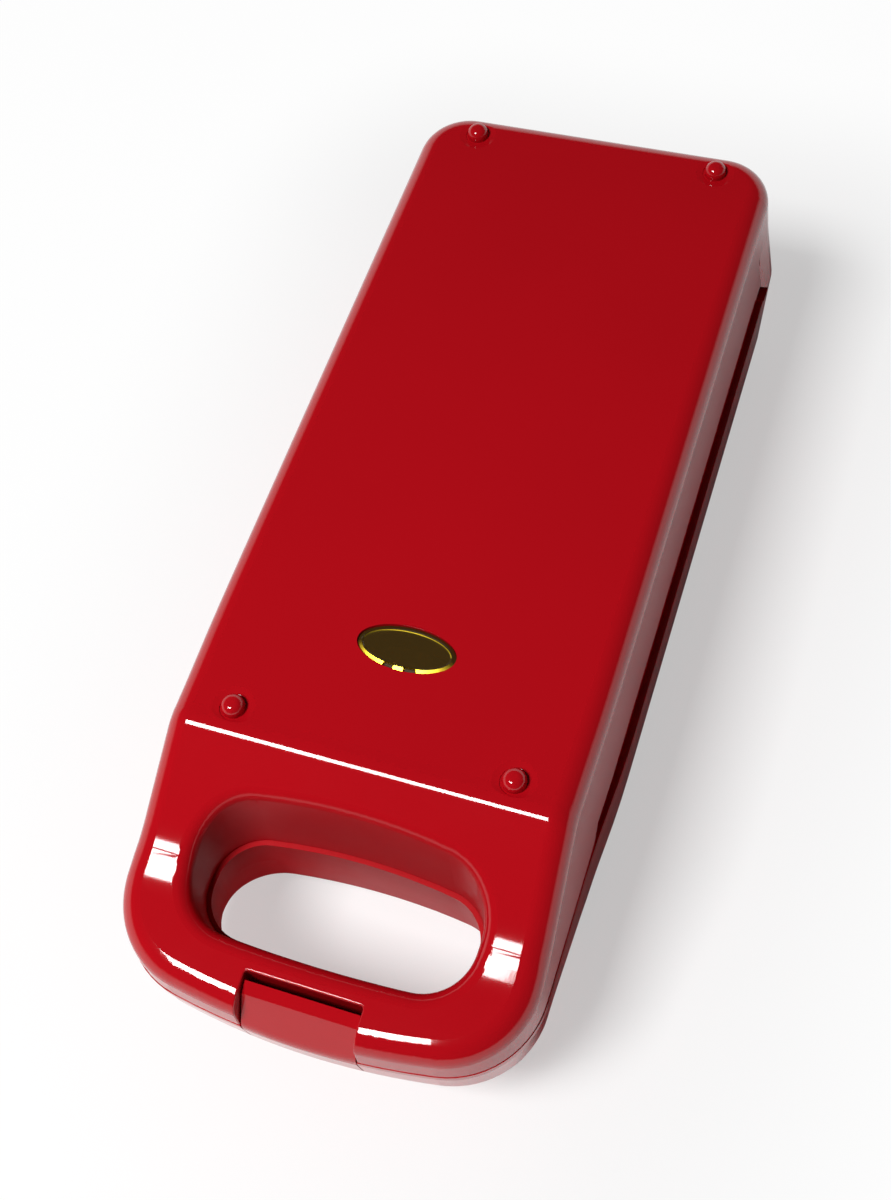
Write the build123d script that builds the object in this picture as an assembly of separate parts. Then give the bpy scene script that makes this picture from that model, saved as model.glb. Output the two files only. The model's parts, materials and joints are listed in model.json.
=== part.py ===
from build123d import *
import math
import os

# Contact grill: a long clamshell cooker with a loop handle at its front end
# X runs across, Y from the handle to the hinge, Z up from the counter; millimetres
# Lid pieces are drawn upward from the parting plane, base pieces are mirrored below it

# Shells
BODY_LENGTH = 380.2
SHELL_HEIGHT = 48.0          # deck of the lid above the parting plane, floor of the base below it
HANDLE_HALF_WIDTH = 75.3     # at the parting plane; both shells are flush around the handle
LID_STEP = 0.7               # the lid widens by this beside the plates
BASE_STEP = 2.1              # and the base by this
WALL = 3.0
DRAFT = 4.0                  # degrees
REAR_CORNER_RADIUS = 23.0
FRONT_CORNER_RADIUS = 34.0
FRONT_BOW_RADIUS = 270.0
RIM_RADIUS = 8.5             # between the deck or the handle top and the side walls
CREASE_RADIUS = 14.0         # between the deck, the slope and the handle

# Distances back from the front of the shells
HANDLE_TOP_END = 42.0
DECK_START = 87.0
WIDENING_START = 80.0
WIDENING_END = 140.0
HANDLE_REAR_DROP = 23.5      # below the deck, at the foot of the slope
HANDLE_FRONT_DROP = 30.0     # below the deck, at the front edge

# Hand hole through both shells, at the parting plane
HANDLE_SIDE = 25.7           # bars beside the hole
HANDLE_BAR = 25.2            # bar in front of it
HAND_HOLE_DEPTH = 42.1
HOLE_REAR_BOW = 5.5
HOLE_FRONT_BOW = 2.5
HOLE_REAR_RADIUS = 18.0
HOLE_FRONT_RADIUS = 17.5
HOLE_RIM_RADIUS = 5.5
HOLE_STEP = 1.2              # the base's hole is smaller by this all round

# Parting line and the vent slot beside the plates
SEAM = 0.6
RIM_RISE = 3.0               # the base rim stands above the parting plane
RIM_END_RADIUS = 2.4
VENT_SLOT = 6.5
SLOT_FRONT = 94.0            # back from the front of the shells
SLOT_RAMP = 7.0
HINGE_BLOCK = 28.0           # forward from the rear of the shells
STEP_RUN = 8.0
FLARE_DRAFT = 7.0            # degrees
FLARE_BITE = 1.5             # into the lid's side wall

# Rest buttons and feet
BUTTON_SPACING = 100.0
BUTTON_FRONT = 92.9          # back from the front of the shells
BUTTON_REAR = 15.0           # forward from the rear of the shells
BUTTON_HEIGHT = 4.0
BUTTON_RADIUS = 4.2
BUTTON_FLAT = 1.0
FOOT_RADIUS = 6.0
FOOT_FLAT = 4.6
STEM_RADIUS = 2.4
STEM_EXTRA = 1.5             # stem end past the inside of the shell
MOAT = 0.8
DISH_DEPTH = 0.8
DISH_MARGIN = 2.6

# Grill plates
PLATE_GAP = 1.0
PLATE_SIDE = 17.0            # from the lid's side wall at the parting plane
PLATE_FRONT = 97.0           # back from the front of the shells
PLATE_REAR = 21.5            # forward from the rear of the shells
PLATE_FLANGE = 3.0
PLATE_WALL = 3.0
PLATE_CORNER_RADIUS = 16.0
FLANGE_WIDTH = 7.0
WELL_DEPTH = 10.0
WELL_DRAFT = 15.0            # degrees
RIB_COUNT = 9
RIB_WIDTH = 4.4
RIB_TOP_WIDTH = 1.8
RIB_HEIGHT = 3.0
CHANNEL_WIDTH = 6.0
PLATE_BOSS_RADIUS = 5.0

# Trim frames and their screws
FRAME_THICKNESS = 2.0
FIT = 0.3
SCREW_BOSS_RADIUS = 4.0
SCREW_BOSS_INSET = 9.2       # inward from the side wall
FRONT_SCREWS = (45.0, 108.0)     # back from the front of the shells
REAR_SCREWS = (145.0, 28.0)      # forward from the rear of the shells

# Heating elements and heat shields
ELEMENT_RADIUS = 3.5
ELEMENT_SIDE = 25.0          # inside the plate's side
ELEMENT_MARGIN = 26.0        # inside the plate ends
ELEMENT_CORNER_RADIUS = 20.0
ELEMENT_BEND_RADIUS = 8.0
TERMINAL_RISE = 12.0
TERMINAL_RADIUS = 1.4
TERMINAL_LENGTH = 5.0
STRAP_WIDTH = 10.0
STRAP_THICKNESS = 1.2
STRAP_COUNT = 3
STRAP_SCREW_GRIP = 6.5       # thread in the plate's boss
SHIELD_SHEET = 0.8
SHIELD_CLEARANCE = 2.5
SHIELD_FLANGE = 5.0
SHIELD_BEND = 5.0

# Screws
SCREW_RADIUS = 1.5
SCREW_LENGTH = 11.0
SCREW_TIP_GAP = 1.0
HEAD_RADIUS = 2.9
HEAD_HEIGHT = 1.6
DRIVE_LENGTH = 2.8
DRIVE_WIDTH = 0.7
DRIVE_DEPTH = 0.6

# Hinge
HINGE_OFFSET = 7.0           # axis behind the rear walls
KNUCKLE_RADIUS = 6.0
PIN_RADIUS = 2.0
PIN_HEAD_RADIUS = 3.4
PIN_HEAD_LENGTH = 1.5
RUNNING_FIT = 0.05
SEATED_FIT = 0.02
HINGE_STATION = 42.0
BASE_KNUCKLE = 14.0
LID_KNUCKLE = 8.0
KNUCKLE_GAP = 0.4
ARM_HEIGHT = 13.0

# Latch: depths back from the front of the shells, heights above the parting plane
LATCH_NOTCH = 42.0
LATCH_SIDE_GAP = 0.5
LATCH_NOTCH_DEPTH = 15.6
LATCH_NOTCH_RADIUS = 1.2
LATCH_LIP_RADIUS = 0.6
LATCH_GAP_BEHIND = 2.7
LATCH_TOP_HEIGHT = 18.2
LATCH_CREASE_DEPTH = 8.9
LATCH_CREASE_HEIGHT = 16.0
LATCH_CREASE_RADIUS = 2.0
LATCH_RAMP_FOOT = 2.4
LATCH_FOOT_RADIUS = 8.0
LATCH_REACH = 14.5           # below the parting plane
LATCH_WALL = 2.6             # the upright part below the ramp
LATCH_EDGE = 2.4             # height of the top's rear edge
LATCH_INNER_CREASE = (1.5, 1.8)  # inside corner of the crease: back and down from it
LATCH_RIB = 2.0
LATCH_PIN_RADIUS = 1.5
LATCH_PIN_SEAT = 2.4         # pin end in the pocket's side wall
LATCH_TUBE_RADIUS = 3.2
LATCH_PIN_DEPTH = 9.2
LATCH_PIN_HEIGHT = 7.0
LATCH_SPRING_ROOM = 15.5
LATCH_TOE_HEIGHT = 2.6
CATCH_WALL = 8.5             # back from the front of the shells
CATCH_TOP = 4.5              # below the parting plane
CATCH_HEIGHT = 2.5
CATCH_DEPTH = 2.6
SPRING_WIRE = 0.45
SPRING_TURNS = 5
SPRING_PITCH = 1.35

# Indicator lens and lamps
LENS_LENGTH = 35.6
LENS_WIDTH = 17.0
LENS_CENTRE = 129.5          # back from the front of the shells
LENS_RECESS = 0.4
LENS_THICKNESS = 1.6
LENS_SKIRT = 1.2
LENS_DEPTH = 7.0
LENS_FLANGE = 2.0
LENS_FLANGE_THICKNESS = 1.2
LAMP_RADIUS = 2.4
LAMP_SPACING = 12.0
LAMP_HEADROOM = 2.5          # under the deck
LAMP_CUP_DEPTH = 14.0
LAMP_CUP_FLOOR = 1.5

# Electrical pieces in the base
GROMMET_RADIUS = 6.0
GROMMET_BORE = 3.4
GROMMET_LIP = 1.8
GROMMET_LIP_WIDTH = 2.0
GROMMET_X = 0.0
GROMMET_DROP = 20.0          # below the parting plane
DEVICE_OFFSET = 30.0         # thermostat and fuse, from the middle of the plate
THERMOSTAT_RADIUS = 8.0
THERMOSTAT_HEIGHT = 9.0
EAR_REACH = 7.0
EAR_WIDTH = 8.0
EAR_THICKNESS = 1.2
BLADE_SPACING = 8.0
BLADE_SIZE = (0.8, 5.0, 6.0)
FUSE_RADIUS = 2.2
FUSE_LENGTH = 26.0
FUSE_LEAD_RADIUS = 0.6
FUSE_LEAD_LENGTH = 8.0
TERMINAL_BLOCK_SIZE = (32.0, 16.0, 12.0)
TERMINAL_BLOCK_X = 34.0
TERMINAL_BLOCK_GAP = 35.0    # forward from the rear of the shells
TERMINAL_PITCH = 9.4
TERMINAL_WELL_RADIUS = 2.6
TERMINAL_WELL_DEPTH = 3.0
TERMINAL_WIRE_RADIUS = 1.6
VENT_COUNT = 6
VENT_WIDTH = 3.0
VENT_LENGTH = 34.0
VENT_PITCH = 9.0
VENT_OFFSET = 25.5           # from the middle plane

# Places that follow from the sizes above
OVERALL_LENGTH = BODY_LENGTH + HINGE_OFFSET + KNUCKLE_RADIUS
Y_FRONT = -OVERALL_LENGTH / 2
Y_REAR = Y_FRONT + BODY_LENGTH
Y_HINGE = Y_REAR + HINGE_OFFSET
Y_STEP = Y_REAR - HINGE_BLOCK
Z_PARTING = SHELL_HEIGHT + BUTTON_HEIGHT
MEETING = RIM_RISE + FRAME_THICKNESS + PLATE_GAP / 2
Z_MEETING = Z_PARTING + MEETING
LID_HALF_WIDTH = HANDLE_HALF_WIDTH + LID_STEP
BASE_HALF_WIDTH = HANDLE_HALF_WIDTH + BASE_STEP
HAND_HOLE_HALF = HANDLE_HALF_WIDTH - HANDLE_SIDE
PLATE_HALF_WIDTH = LID_HALF_WIDTH - PLATE_SIDE
PLATE_LENGTH = BODY_LENGTH - PLATE_FRONT - PLATE_REAR
PLATE_CENTRE = Y_FRONT + PLATE_FRONT + PLATE_LENGTH / 2
ELEMENT_HALF_WIDTH = PLATE_HALF_WIDTH - ELEMENT_SIDE
FRAME_BACK = PLATE_GAP / 2 + PLATE_FLANGE + FRAME_THICKNESS
PLATE_BACK = PLATE_GAP / 2 + WELL_DEPTH + PLATE_WALL
STRAP_SEAT = PLATE_BACK + 2 * ELEMENT_RADIUS
SHIELD_BACK = STRAP_SEAT + STRAP_THICKNESS + HEAD_HEIGHT + SHIELD_CLEARANCE + SHIELD_SHEET


def in_lid(shape):
    """A piece drawn upward from the parting plane, at its place in the lid."""
    return Pos(0, 0, Z_PARTING) * shape


def in_base(shape):
    """A piece drawn upward from the parting plane, mirrored to its place in the base."""
    return Pos(0, 0, Z_PARTING) * mirror(shape, about=Plane.XY)


def above_meeting(shape):
    """A piece drawn upward from the plane where the plates meet, in the lid."""
    return Pos(0, 0, Z_MEETING) * shape


def below_meeting(shape):
    """The same piece mirrored into the base."""
    return Pos(0, 0, Z_MEETING) * mirror(shape, about=Plane.XY)


def four_places(spread, front, rear):
    """Centres of four pieces that stand in a rectangle on the deck or the floor."""
    return [(x, y) for x in (-spread, spread) for y in (front, rear)]


# Outlines shared by both shells

def shell_plan(step, inset=0.0):
    """Plan of a shell at the parting plane, wider than the handle by the step beside the plates."""
    front = HANDLE_HALF_WIDTH - inset
    main = front + step
    y_front = Y_FRONT + inset
    y_rear = Y_REAR - inset
    y_corner = y_front + front ** 2 / (2 * (FRONT_BOW_RADIUS - inset))
    start = (front, Y_FRONT + WIDENING_START)
    end = (main, Y_FRONT + WIDENING_END)
    middle = ((start[0] + end[0]) / 2, (start[1] + end[1]) / 2)
    bow = ThreePointArc((-front, y_corner), (0, y_front), (front, y_corner))
    first_bend = TangentArc(start, middle, tangent=(0, 1))
    second_bend = TangentArc(middle, end, tangent=first_bend % 1)
    right = Curve() + [Line((front, y_corner), start), first_bend, second_bend, Line(end, (main, y_rear))]
    rear = Line((main, y_rear), (-main, y_rear))
    plan = make_face((Curve() + [bow] + right + [rear] + mirror(right, Plane.YZ)).edges())
    plan = fillet(plan.vertices().sort_by(Axis.Y)[-2:], REAR_CORNER_RADIUS - inset)
    return fillet(plan.vertices().sort_by(Axis.Y)[:2], FRONT_CORNER_RADIUS - inset)


def side_profile(drop=0.0):
    """Everything under the deck, the slope and the handle top, as a prism across the shell."""
    deck = SHELL_HEIGHT - drop
    top_of_slope = (Y_FRONT + DECK_START, deck)
    foot_of_slope = (Y_FRONT + HANDLE_TOP_END, deck - HANDLE_REAR_DROP)
    outline = Polyline(
        (Y_REAR + WALL, -SHELL_HEIGHT),
        (Y_REAR + WALL, deck),
        top_of_slope,
        foot_of_slope,
        (Y_FRONT - WALL, deck - HANDLE_FRONT_DROP),
        (Y_FRONT - WALL, -SHELL_HEIGHT),
        close=True,
    )
    face = make_face(outline.edges())
    for bend in (top_of_slope, foot_of_slope):
        corner = face.vertices().sort_by_distance(Vector(*bend, 0))[0]
        face = fillet(corner, CREASE_RADIUS)
    return extrude(Plane.YZ * face, BASE_HALF_WIDTH + WALL, both=True)


def rim_edges(shape):
    """The edges where the deck, the slope and the handle top meet the walls."""
    tops = shape.faces().filter_by(lambda face: face.normal_at().Z > 0.3).edges()
    sides = shape.faces().filter_by(lambda face: abs(face.normal_at().Z) < 0.2).edges()
    return ShapeList([edge for edge in tops if edge in sides])


def shell_form(step, inset=0.0):
    """The drafted, rounded form that a shell is cut from, or its hollow when inset."""
    block = extrude(shell_plan(step, inset), SHELL_HEIGHT + WALL, taper=DRAFT)
    block = block & side_profile(inset)
    return fillet(rim_edges(block), RIM_RADIUS - inset)


def hole_outline(height, grow):
    """The hand hole's outline at a height, wider by the draft the further it is from the parting plane."""
    spread = grow + height * math.tan(math.radians(DRAFT))
    half = HAND_HOLE_HALF + spread
    y_front = Y_FRONT + HANDLE_BAR - spread
    y_rear = Y_FRONT + HANDLE_BAR + HAND_HOLE_DEPTH + spread
    y_front_corner = y_front + HOLE_FRONT_BOW
    y_rear_corner = y_rear - HOLE_REAR_BOW
    front = ThreePointArc((-half, y_front_corner), (0, y_front), (half, y_front_corner))
    right = Line((half, y_front_corner), (half, y_rear_corner))
    rear = ThreePointArc((half, y_rear_corner), (0, y_rear), (-half, y_rear_corner))
    left = Line((-half, y_rear_corner), (-half, y_front_corner))
    face = make_face([front, right, rear, left])
    face = fillet(face.vertices().sort_by(Axis.Y)[-2:], HOLE_REAR_RADIUS + spread)
    face = fillet(face.vertices().sort_by(Axis.Y)[:2], HOLE_FRONT_RADIUS + spread)
    return Pos(0, 0, height) * face


def hand_hole(grow=0.0):
    """The core of the hand hole, from below the rim to above the deck."""
    ends = [hole_outline(height, grow) for height in (-2 * RIM_RISE, SHELL_HEIGHT + WALL)]
    return loft(ends, ruled=True)


def hole_rim(shape):
    """The rim of the hand hole on the handle top and the slope."""
    low = Y_FRONT + HANDLE_BAR / 2
    high = Y_FRONT + DECK_START
    reach = HANDLE_HALF_WIDTH - HANDLE_SIDE / 2
    return ShapeList([
        edge for edge in rim_edges(shape)
        if low < edge.center().Y < high and abs(edge.center().X) < reach
    ])


def across(points):
    """A prism that runs right across the grill, drawn as a side view of (y, z) points."""
    face = make_face(Polyline(*points, close=True).edges())
    return extrude(Plane.YZ * face, BASE_HALF_WIDTH + 2 * WALL, both=True)


def box_between(low, high):
    """A box given by its lowest and highest corners."""
    size = [high[i] - low[i] for i in range(3)]
    centre = [(high[i] + low[i]) / 2 for i in range(3)]
    return Pos(*centre) * Box(*size)


def rod(radius, x_from, x_to, y, z):
    """A round bar along X."""
    return Pos((x_from + x_to) / 2, y, z) * Rot(0, 90, 0) * Cylinder(radius, x_to - x_from)


def post(radius, z_from, z_to):
    """A round bar along Z."""
    return Pos(0, 0, (z_from + z_to) / 2) * Cylinder(radius, z_to - z_from)


# Rest buttons on the lid and feet under the base

BUTTON_PLACES = four_places(BUTTON_SPACING / 2, Y_FRONT + BUTTON_FRONT, Y_REAR - BUTTON_REAR)


def button(radius, flat):
    """A domed button with a stem, drawn from the deck surface at zero."""
    shoulder = BUTTON_HEIGHT * 0.2
    stem_end = -WALL - STEM_EXTRA
    dome = EllipticalCenterArc((flat, shoulder), radius - flat, BUTTON_HEIGHT - shoulder, arc_size=90)
    body = Polyline(
        (radius, shoulder),
        (radius, -DISH_DEPTH),
        (STEM_RADIUS, -DISH_DEPTH),
        (STEM_RADIUS, stem_end),
        (0, stem_end),
        (0, BUTTON_HEIGHT),
        (flat, BUTTON_HEIGHT),
    )
    face = make_face((Curve() + [dome] + body).edges())
    return revolve(Plane.XZ * face, Axis.Z)


def button_recess(radius):
    """The shallow dish, the moat around the button and the hole for its stem."""
    dish = radius + DISH_MARGIN + MOAT
    ball = (dish ** 2 + DISH_DEPTH ** 2) / (2 * DISH_DEPTH)
    bowl = Pos(0, 0, ball - DISH_DEPTH) * Sphere(ball)
    bowl = bowl & Pos(0, 0, WALL) * Box(4 * dish, 4 * dish, 4 * WALL)
    return bowl + post(radius + MOAT, -DISH_DEPTH, WALL) + post(STEM_RADIUS + SEATED_FIT, -2 * WALL, WALL)


def button_set(radius, flat):
    """Four buttons on a deck."""
    return [Pos(x, y, SHELL_HEIGHT) * button(radius, flat) for x, y in BUTTON_PLACES]


# Screw posts of the shells

def frame_screw_places(step):
    """Screw places along both sides of a shell."""
    x = HANDLE_HALF_WIDTH + step - SCREW_BOSS_INSET
    stations = [Y_FRONT + d for d in FRONT_SCREWS] + [Y_REAR - d for d in REAR_SCREWS]
    return [(side * x, y) for y in stations for side in (-1, 1)]


def screw_posts(step, start):
    """Posts from a trim frame's back up into the deck."""
    body = post(SCREW_BOSS_RADIUS, start, SHELL_HEIGHT)
    return Part() + [Pos(x, y, 0) * body for x, y in frame_screw_places(step)]


def screw_pilots(step, start):
    """Pilot holes in those posts."""
    hole = post(SCREW_RADIUS + SEATED_FIT, start - SCREW_TIP_GAP, start + SCREW_LENGTH)
    return Part() + [Pos(x, y, 0) * hole for x, y in frame_screw_places(step)]


def pan_screw(length):
    """A pan-head screw that points up, with the underside of its head at zero."""
    head = post(HEAD_RADIUS, -HEAD_HEIGHT, 0)
    head = fillet(head.edges().filter_by(GeomType.CIRCLE).sort_by(Axis.Z)[0], HEAD_HEIGHT * 0.5)
    blade = Box(DRIVE_WIDTH, DRIVE_LENGTH, 2 * DRIVE_DEPTH)
    drive = Pos(0, 0, -HEAD_HEIGHT) * (blade + Rot(0, 0, 90) * blade)
    return head + post(SCREW_RADIUS, -HEAD_HEIGHT / 2, length) - drive


# Shells

def latch_pocket():
    """The notch in the middle of the handle's front that takes the latch."""
    notch = box_between(
        (-LATCH_NOTCH / 2, Y_FRONT - WALL, -SHELL_HEIGHT),
        (LATCH_NOTCH / 2, Y_FRONT + LATCH_NOTCH_DEPTH, SHELL_HEIGHT),
    )
    return fillet(notch.edges().filter_by(Axis.Z).sort_by(Axis.Y)[-2:], LATCH_NOTCH_RADIUS)


def pocket_walls(depth):
    """What stays solid around a latch pocket."""
    return box_between(
        (-LATCH_NOTCH / 2 - WALL, Y_FRONT, -2 * RIM_RISE),
        (LATCH_NOTCH / 2 + WALL, Y_FRONT + depth, SHELL_HEIGHT),
    )


def lid_parting_cut():
    """What is cut from under the lid: seam, raised skirt beside the plates, hinge block."""
    slot_top = RIM_RISE + VENT_SLOT
    front_seam = RIM_RISE + SEAM
    y_slot = Y_FRONT + SLOT_FRONT
    return across([
        (Y_FRONT - WALL, -WALL),
        (Y_FRONT - WALL, front_seam),
        (y_slot, front_seam),
        (y_slot + SLOT_RAMP, slot_top),
        (Y_STEP - STEP_RUN, slot_top),
        (Y_STEP, SEAM),
        (Y_REAR + WALL, SEAM),
        (Y_REAR + WALL, -WALL),
    ])


def hinge_flare():
    """The lid's flared rear block, flush with the base."""
    block = extrude(shell_plan(BASE_STEP), SHELL_HEIGHT * 0.75, taper=FLARE_DRAFT)
    inner = LID_HALF_WIDTH - FLARE_BITE
    outer = BASE_HALF_WIDTH + WALL
    slant = STEP_RUN / (BASE_HALF_WIDTH - inner)
    y_inner = Y_STEP - STEP_RUN
    y_outer = y_inner + slant * (outer - inner)
    region = Polyline(
        (-outer, y_outer), (-inner, y_inner), (inner, y_inner), (outer, y_outer),
        (outer, Y_REAR + WALL), (-outer, Y_REAR + WALL), close=True,
    )
    return block & extrude(make_face(region.edges()), SHELL_HEIGHT)


def lens_outline(grow=0.0):
    """The oval of the indicator lens."""
    return Pos(0, Y_FRONT + LENS_CENTRE) * Ellipse(LENS_LENGTH / 2 + grow, LENS_WIDTH / 2 + grow)


def oval_block(grow, z_from, z_to):
    """An oval slice around the lens axis, between two depths below the deck."""
    return Pos(0, 0, SHELL_HEIGHT - z_to) * extrude(lens_outline(grow), z_to - z_from)


def knuckle_spans(own):
    """X spans of the knuckles of one hinge station, for the base or for the lid."""
    half = BASE_KNUCKLE / 2
    if own == "base":
        return [(-half, half)]
    inner = half + KNUCKLE_GAP
    outer = inner + LID_KNUCKLE
    return [(-outer, -inner), (inner, outer)]


def hinge_knuckles(own, bore):
    """Barrels on arms behind a shell's rear wall, drawn on the shell's own side of the axis."""
    arm = Polyline(
        (Y_REAR - WALL, SEAM),
        (Y_HINGE - KNUCKLE_RADIUS + 1.0, SEAM),
        (Y_HINGE, 0),
        (Y_HINGE + KNUCKLE_RADIUS * 0.5, KNUCKLE_RADIUS * 0.866),
        (Y_REAR - 1.0, ARM_HEIGHT),
        (Y_REAR - WALL, ARM_HEIGHT),
        close=True,
    )
    arm_face = make_face(arm.edges())
    pieces = []
    for station in (-HINGE_STATION, HINGE_STATION):
        for low, high in knuckle_spans(own):
            pieces.append(rod(KNUCKLE_RADIUS, station + low, station + high, Y_HINGE, 0))
            pieces.append(Pos(station + low, 0, 0) * extrude(Plane.YZ * arm_face, high - low))
    bores = [rod(bore, station - HINGE_STATION, station + HINGE_STATION, Y_HINGE, 0)
             for station in (-HINGE_STATION, HINGE_STATION)]
    return pieces, bores


def hollow_shell(step, hole_grow, frame_back, solid_depth):
    """A shell's outside with its hand hole, and the hollow with its posts and pocket walls."""
    shell = shell_form(step) - hand_hole(hole_grow)
    shell = fillet(hole_rim(shell), HOLE_RIM_RADIUS)
    hollow = shell_form(step, WALL) + extrude(shell_plan(step, WALL), -2 * RIM_RISE)
    hollow = hollow - hand_hole(hole_grow + WALL) - pocket_walls(solid_depth)
    return shell, hollow - screw_posts(step, frame_back)


def notch_lip(shape):
    """The edge behind the latch, on the handle's top."""
    place = (0, Y_FRONT + LATCH_NOTCH_DEPTH, LATCH_TOP_HEIGHT + LATCH_GAP_BEHIND)
    return shape.edges().filter_by(Axis.X).sort_by_distance(place)[0]


def lid_shell():
    """The lid: deck, slope, loop handle, raised skirt and hinge arms."""
    frame_back = MEETING + FRAME_BACK
    shell, hollow = hollow_shell(LID_STEP, 0, frame_back, HANDLE_BAR)
    shell = shell - latch_pocket()
    shell = fillet(notch_lip(shell), LATCH_LIP_RADIUS)
    shell = shell + hinge_flare() - hollow - lid_parting_cut()
    shell = shell - screw_pilots(LID_STEP, frame_back)
    knuckles, bores = hinge_knuckles("lid", PIN_RADIUS + RUNNING_FIT)
    shell = shell + knuckles - hollow - bores
    shell = shell - latch_pin_bar(SEATED_FIT)
    for x, y in BUTTON_PLACES:
        shell = shell - Pos(x, y, SHELL_HEIGHT) * button_recess(BUTTON_RADIUS)
    return shell - oval_block(FIT / 2, -1, WALL + 1)


def base_rim():
    """The base's upright rim, which stops with a rounded end ahead of the hinge block."""
    rim = extrude(shell_plan(BASE_STEP), -RIM_RISE)
    keep = box_between(
        (-BASE_HALF_WIDTH - WALL, Y_FRONT - WALL, -RIM_RISE),
        (BASE_HALF_WIDTH + WALL, Y_STEP - STEP_RUN, 0),
    )
    rear_top = keep.edges().filter_by(Axis.X).sort_by(Axis.Y)[-2:].sort_by(Axis.Z)[0]
    return rim & fillet(rear_top, RIM_END_RADIUS)


def vent_slots():
    """Two rows of cooling slots through the floor of the base."""
    slot = extrude(SlotOverall(VENT_LENGTH, VENT_WIDTH), 4 * WALL)
    slots = []
    for i in range(VENT_COUNT):
        y = PLATE_CENTRE + (i - (VENT_COUNT - 1) / 2) * VENT_PITCH
        slots.extend(Pos(side * VENT_OFFSET, y, SHELL_HEIGHT - 2 * WALL) * slot for side in (-1, 1))
    return slots


def base_shell():
    """The base, drawn upside down: rim, loop handle, feet recesses, vents and cord inlet."""
    frame_back = FRAME_BACK - MEETING
    shell, hollow = hollow_shell(BASE_STEP, -HOLE_STEP, frame_back, CATCH_WALL + WALL)
    shell = shell + base_rim() - hollow - hand_hole(-HOLE_STEP)
    knuckles, bores = hinge_knuckles("base", PIN_RADIUS + SEATED_FIT)
    shell = shell + knuckles - hollow - bores
    shell = shell - catch_recess() + catch_bar()
    shell = shell - screw_pilots(BASE_STEP, frame_back) - vent_slots()
    shell = shell - in_rear_wall(Cylinder(GROMMET_RADIUS, 4 * WALL))
    for x, y in BUTTON_PLACES:
        shell = shell - Pos(x, y, SHELL_HEIGHT) * button_recess(FOOT_RADIUS)
    return shell


# Latch

Y_LATCH_TOP = Y_FRONT + LATCH_NOTCH_DEPTH - LATCH_GAP_BEHIND
Y_LATCH_PIN = Y_FRONT + LATCH_PIN_DEPTH
Y_CATCH_WALL = Y_FRONT + CATCH_WALL


def latch_pin_bar(grow=0.0):
    """The pin across the latch pocket."""
    half = LATCH_NOTCH / 2 + LATCH_PIN_SEAT
    return rod(LATCH_PIN_RADIUS + grow, -half, half, Y_LATCH_PIN, LATCH_PIN_HEIGHT)


def catch_recess():
    """The base's share of the notch, for the hook, in the base's own direction."""
    return box_between(
        (-LATCH_NOTCH / 2, Y_FRONT - WALL, -2 * RIM_RISE),
        (LATCH_NOTCH / 2, Y_CATCH_WALL, SHELL_HEIGHT),
    )


def catch_bar():
    """The ledge that the latch hooks under."""
    return box_between(
        (-LATCH_NOTCH / 2, Y_CATCH_WALL - CATCH_DEPTH, CATCH_TOP),
        (LATCH_NOTCH / 2, Y_CATCH_WALL, CATCH_TOP + CATCH_HEIGHT),
    )


def latch_skin(half):
    """The latch's outer wall with its hook, trimmed flush with both shells' fronts."""
    inner = Y_FRONT + LATCH_WALL
    back, down = LATCH_INNER_CREASE
    toe_top = -CATCH_TOP - CATCH_HEIGHT - 2 * FIT
    toe_tip = Y_CATCH_WALL - 2 * FIT
    profile = Polyline(
        (Y_LATCH_TOP, LATCH_TOP_HEIGHT - LATCH_EDGE),
        (Y_LATCH_TOP, LATCH_TOP_HEIGHT),
        (Y_FRONT + LATCH_CREASE_DEPTH, LATCH_CREASE_HEIGHT),
        (Y_FRONT, LATCH_RAMP_FOOT),
        (Y_FRONT - WALL, LATCH_RAMP_FOOT),
        (Y_FRONT - WALL, -LATCH_REACH),
        (inner + LATCH_RIB, -LATCH_REACH),
        (inner, toe_top - LATCH_TOE_HEIGHT),
        (toe_tip, toe_top - LATCH_TOE_HEIGHT),
        (toe_tip, toe_top),
        (inner, toe_top),
        (inner, LATCH_RAMP_FOOT),
        (Y_FRONT + LATCH_CREASE_DEPTH + back, LATCH_CREASE_HEIGHT - down),
        close=True,
    )
    flush = shell_form(LID_STEP) + mirror(shell_form(BASE_STEP), about=Plane.XY)
    skin = extrude(Plane.YZ * make_face(profile.edges()), half, both=True) & flush
    crease = (0, Y_FRONT + LATCH_CREASE_DEPTH, LATCH_CREASE_HEIGHT)
    skin = fillet(skin.edges().sort_by_distance(crease)[0], LATCH_CREASE_RADIUS)
    foot = (0, Y_FRONT, LATCH_RAMP_FOOT)
    return fillet(skin.edges().sort_by_distance(foot)[0], LATCH_FOOT_RADIUS)


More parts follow.
